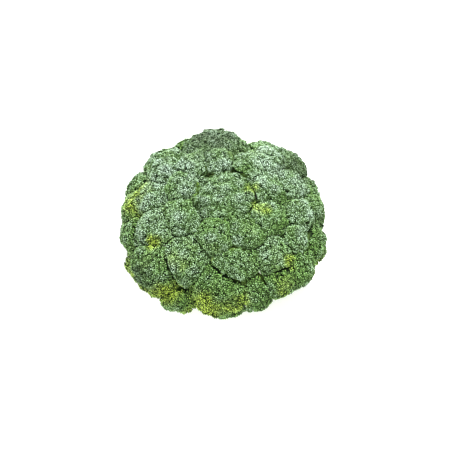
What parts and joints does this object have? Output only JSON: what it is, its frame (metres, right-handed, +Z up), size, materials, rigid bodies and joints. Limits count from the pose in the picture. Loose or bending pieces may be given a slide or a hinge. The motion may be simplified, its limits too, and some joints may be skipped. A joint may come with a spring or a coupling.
{
  "type": "broccoli head",
  "caption": "Trimmed broccoli head of tightly packed bud florets on a short branching stalk, standing on its cut end.",
  "frame": {"origin": "centre of the stalk's flat cut face, on the surface it stands on", "axes": "+Z up along the stalk, -Y towards the side that the picture shows, +X to the right there"},
  "size_m": [0.1635, 0.165, 0.098],
  "materials": {
    "bud_green": "matt blue-green flower buds",
    "stem_green": "pale green waxy stem skin, moist fibrous cut face"
  },
  "bodies": {
    "root": {"floret_apex": "bud_green", "floret_inner_01": "bud_green", "floret_inner_02": "bud_green", "floret_inner_03": "bud_green", "floret_inner_04": "bud_green", "floret_inner_05": "bud_green", "floret_inner_06": "bud_green", "floret_inner_07": "bud_green", "floret_inner_08": "bud_green", "floret_inner_09": "bud_green", "floret_middle_01": "bud_green", "floret_middle_02": "bud_green", "floret_middle_03": "bud_green", "floret_middle_04": "bud_green", "floret_middle_05": "bud_green", "floret_middle_06": "bud_green", "floret_middle_07": "bud_green", "floret_middle_08": "bud_green", "floret_middle_09": "bud_green", "floret_middle_10": "bud_green", "floret_outer_01": "bud_green", "floret_outer_02": "bud_green", "floret_outer_03": "bud_green", "floret_outer_04": "bud_green", "floret_outer_05": "bud_green", "floret_outer_06": "bud_green", "floret_outer_07": "bud_green", "floret_outer_08": "bud_green", "floret_outer_09": "bud_green", "floret_outer_10": "bud_green", "floret_outer_11": "bud_green", "floret_outer_12": "bud_green", "floret_outer_13": "bud_green", "floret_outer_14": "bud_green", "floret_outer_15": "bud_green", "floret_outer_16": "bud_green", "floret_outer_17": "bud_green", "floret_outer_18": "bud_green", "floret_outer_19": "bud_green", "stalk": "stem_green"}
  },
  "joints": []
}
